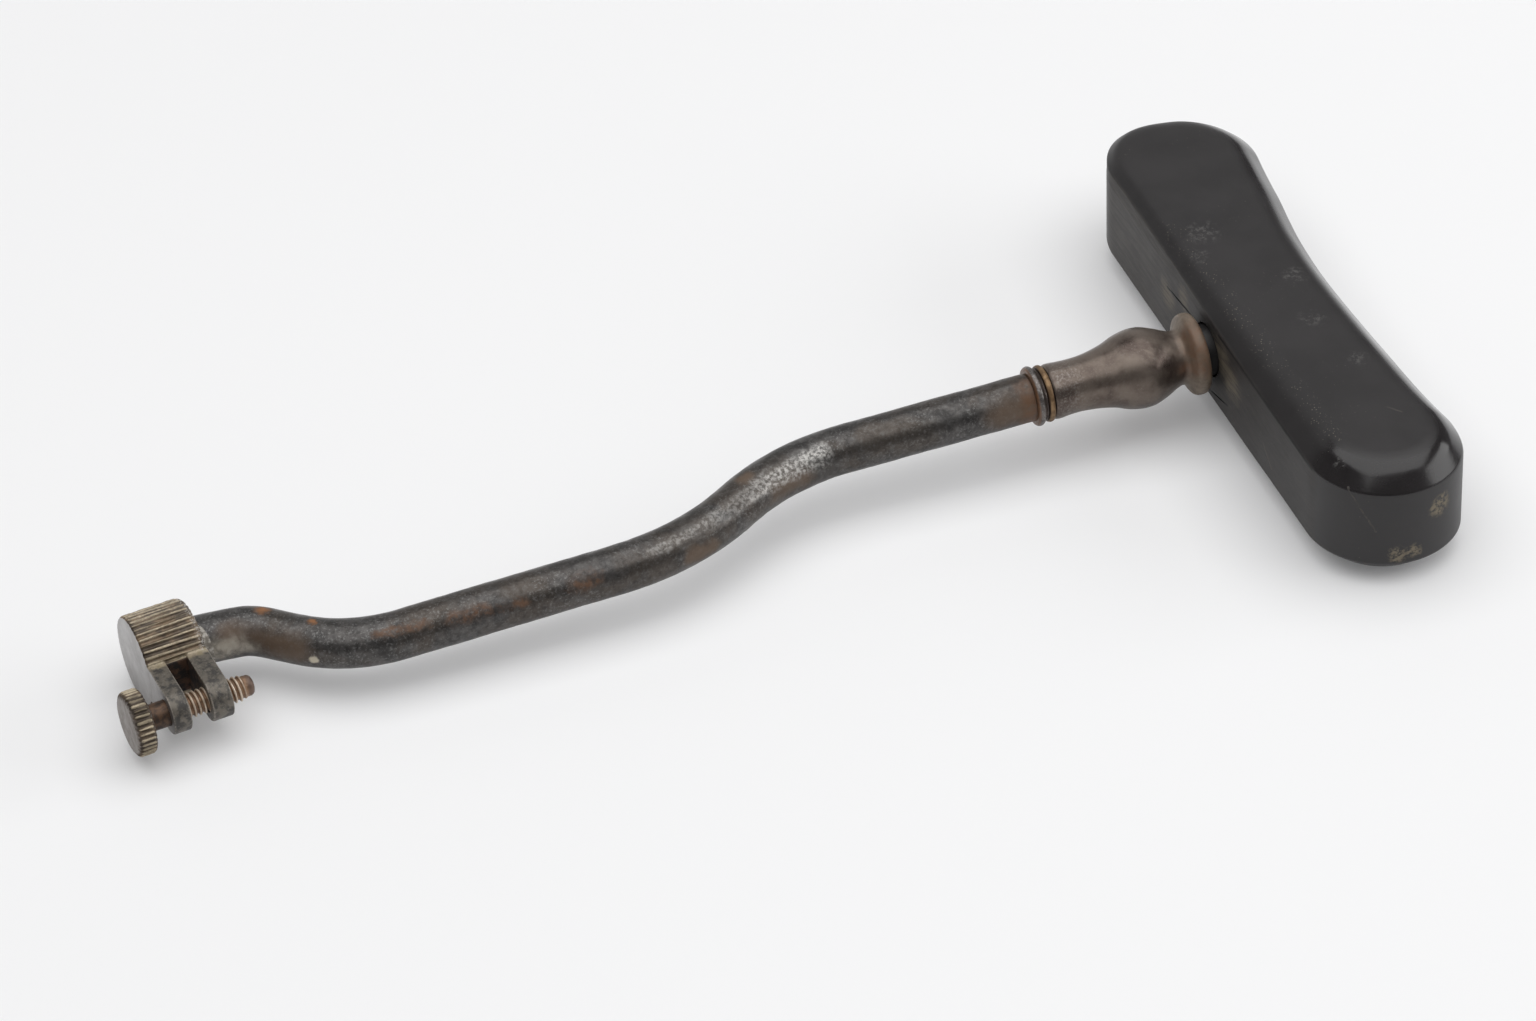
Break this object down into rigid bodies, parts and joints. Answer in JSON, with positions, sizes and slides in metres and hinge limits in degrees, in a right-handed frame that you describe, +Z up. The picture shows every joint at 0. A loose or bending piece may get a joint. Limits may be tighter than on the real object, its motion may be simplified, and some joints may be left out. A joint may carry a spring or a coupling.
{
  "type": "dental key",
  "caption": "T-handled dental key: cranked iron shaft ending in a grooved bolster, whose slotted ears hold a claw on a thumb screw.",
  "frame": {"origin": "middle of the handle's underside, on the floor", "axes": "+X along the shaft from the bolster toward the handle, +Y along the handle, +Z up from the floor"},
  "size_m": [0.1643, 0.08, 0.0173],
  "materials": {
    "horn": "black ebony or horn, worn satin",
    "iron": "forged iron, dark and mottled with rust",
    "patina": "brown-black patina with a soft shine",
    "braze": "dull golden-brown braze",
    "solder": "bright silvery braze",
    "grooved_iron": "grooved iron, grey with tan dirt in the grooves",
    "screw_iron": "dark brown iron",
    "thread_iron": "tan-gold worn iron"
  },
  "bodies": {
    "key": {"handle": "horn", "rose_washer": "iron", "shaft": "iron", "bead_ring": "patina", "braze_ring": "braze", "ferrule": "patina", "bolster": "grooved_iron", "bolster_braze": "solder"},
    "screw shank": {"screw_shank": "screw_iron"},
    "screw": {"screw_head": "grooved_iron", "screw_thread": "thread_iron"}
  },
  "joints": [
    {"name": "screw travel", "type": "slide", "parent": "key", "child": "screw shank", "axis": [-0.9976, -0.0628, -0.0278], "range_m": [-0.00245, 0.005]},
    {"name": "screw turn", "type": "hinge", "parent": "screw shank", "child": "screw", "pos_m": [-0.14915, -0.01088, 0.00587], "axis": [-0.9976, -0.0628, -0.0278], "range_deg": [-1360, 2770]}
  ],
  "couplings": [
    {"joint": "screw turn", "follows": "screw travel", "rad_per_m": 9666.4}
  ]
}
